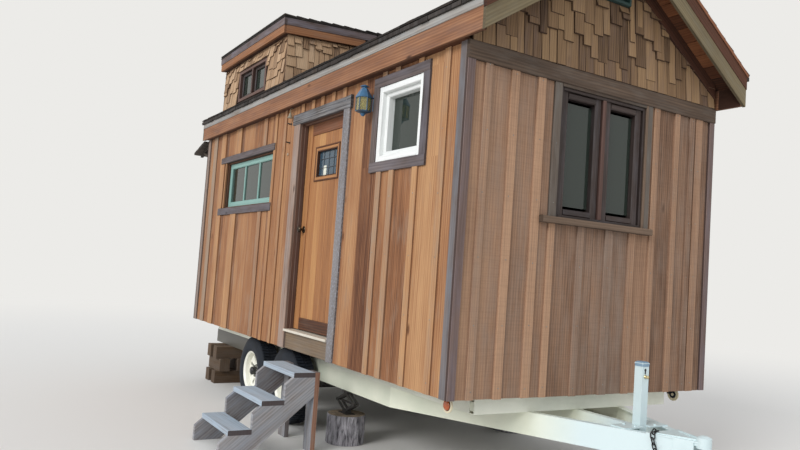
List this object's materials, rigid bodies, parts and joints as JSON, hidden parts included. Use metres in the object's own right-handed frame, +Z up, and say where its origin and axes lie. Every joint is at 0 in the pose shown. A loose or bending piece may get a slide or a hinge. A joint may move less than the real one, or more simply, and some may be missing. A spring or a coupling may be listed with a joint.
{
  "type": "tiny house on wheels",
  "caption": "Small gabled wooden house on a tandem-axle trailer, with a shed dormer, plank door, entry steps, props and a tongue jack.",
  "frame": {"origin": "middle of the part's bounding box, on the ground", "axes": "+X along the house towards the tongue, +Y away from the door side, +Z up"},
  "size_m": [6.779, 3.386, 4.0858],
  "materials": {
    "trailer_paint": "satin",
    "tongue_paint": "satin",
    "bare_steel": "satin",
    "black_steel": "satin",
    "tyre": "matte",
    "rim_paint": "gloss",
    "cedar_siding": "matte",
    "gable_siding": "matte",
    "floor_boards": "matte",
    "roof_boards": "matte",
    "shingles": "matte",
    "fascia_wood": "matte",
    "rake_wood": "matte",
    "dark_trim": "matte",
    "shake_wood": "matte",
    "door_wood": "satin",
    "sill_wood": "matte",
    "white_paint": "satin",
    "green_paint": "satin",
    "dark_sash": "satin",
    "glass": "clear",
    "vent_paint": "matte",
    "lantern_metal": "satin",
    "iron": "matte",
    "weathered_wood": "matte",
    "log_wood": "matte",
    "prop_timber": "matte",
    "lamp_plastic": "gloss"
  },
  "bodies": {
    "house": {"main_rails": "trailer_paint", "centre_beam": "trailer_paint", "cross_members": "trailer_paint", "deck_frame": "trailer_paint", "coupler": "tongue_paint", "jack_post": "tongue_paint", "jack_leg": "bare_steel", "axles": "black_steel", "leaf_springs": "black_steel", "spring_hangers": "black_steel", "floor": "floor_boards", "near_wall_front": "cedar_siding", "near_wall_rear": "cedar_siding", "near_wall_over_door": "cedar_siding", "far_wall": "cedar_siding", "front_gable_wall": "gable_siding", "rear_gable_wall": "gable_siding", "near_roof": "roof_boards", "far_roof": "roof_boards", "near_shingles": "shingles", "far_shingles": "shingles", "dormer_shingles": "shingles", "eave_fascias": "fascia_wood", "rake_boards": "rake_wood", "corner_boards": "dark_trim", "band_boards": "dark_trim", "dormer_front": "shake_wood", "dormer_cheeks": "shake_wood", "dormer_roof": "roof_boards", "dormer_fascia": "fascia_wood", "door_frame": "dark_trim", "door_sill": "sill_wood", "door_hinges": "iron", "white_windows": "white_paint", "green_windows": "green_paint", "end_windows": "dark_sash", "dormer_window": "dark_sash", "window_glass": "glass", "window_casings": "dark_trim", "gable_vents": "vent_paint", "wall_lantern": "lantern_metal", "step_stringers": "weathered_wood", "step_treads": "weathered_wood", "scissor_jacks": "black_steel", "log_stumps": "log_wood", "timber_cribs": "prop_timber", "marker_lamps": "lamp_plastic", "rear_hood": "dark_trim"},
    "door": {"door_leaf": "door_wood", "door_glass": "glass", "door_knob": "iron"},
    "front_near_wheel": {"front_near_tyre": "tyre", "front_near_rim": "rim_paint"},
    "rear_near_wheel": {"rear_near_tyre": "tyre", "rear_near_rim": "rim_paint"},
    "front_far_wheel": {"front_far_tyre": "tyre", "front_far_rim": "rim_paint"},
    "rear_far_wheel": {"rear_far_tyre": "tyre", "rear_far_rim": "rim_paint"}
  },
  "joints": [
    {"name": "door_hinge", "type": "hinge", "parent": "house", "child": "door", "pos_m": [0.775, -0.712, 1.8195], "axis": [0, 0, -1], "range_deg": [0, 95]},
    {"name": "front_near_wheel_spin", "type": "hinge", "parent": "house", "child": "front_near_wheel", "pos_m": [-0.2095, -0.6885, 0.345], "axis": [0, 1, 0], "continuous": true},
    {"name": "rear_near_wheel_spin", "type": "hinge", "parent": "house", "child": "rear_near_wheel", "pos_m": [-1.0695, -0.6885, 0.345], "axis": [0, 1, 0], "continuous": true},
    {"name": "front_far_wheel_spin", "type": "hinge", "parent": "house", "child": "front_far_wheel", "pos_m": [-0.2095, 1.4505, 0.345], "axis": [0, 1, 0], "continuous": true},
    {"name": "rear_far_wheel_spin", "type": "hinge", "parent": "house", "child": "rear_far_wheel", "pos_m": [-1.0695, 1.4505, 0.345], "axis": [0, 1, 0], "continuous": true}
  ]
}
